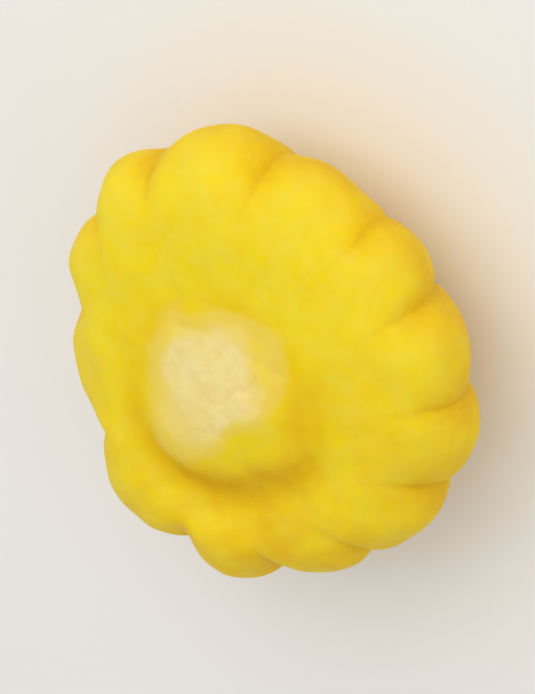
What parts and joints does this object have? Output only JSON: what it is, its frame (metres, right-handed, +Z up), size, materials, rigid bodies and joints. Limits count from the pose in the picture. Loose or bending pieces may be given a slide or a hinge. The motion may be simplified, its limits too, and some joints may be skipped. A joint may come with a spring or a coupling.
{
  "type": "pattypan squash",
  "caption": "Small flat pattypan squash with a scalloped rim, an off-centre cut stem end facing up and a blunt blossom end that it rests on.",
  "frame": {"origin": "middle of the flat rest spot at the blossom end, on the surface that the squash stands on", "axes": "+Z up from the blossom end to the cut stem end; X and Y lie in the rest plane, with the deep fold beside the stem end on the +Y side"},
  "size_m": [0.0403, 0.0402, 0.0184],
  "materials": {
    "skin": "satin waxy yellow vegetable skin with a pale cut at the stem end"
  },
  "bodies": {
    "root": {"squash": "skin"}
  },
  "joints": []
}
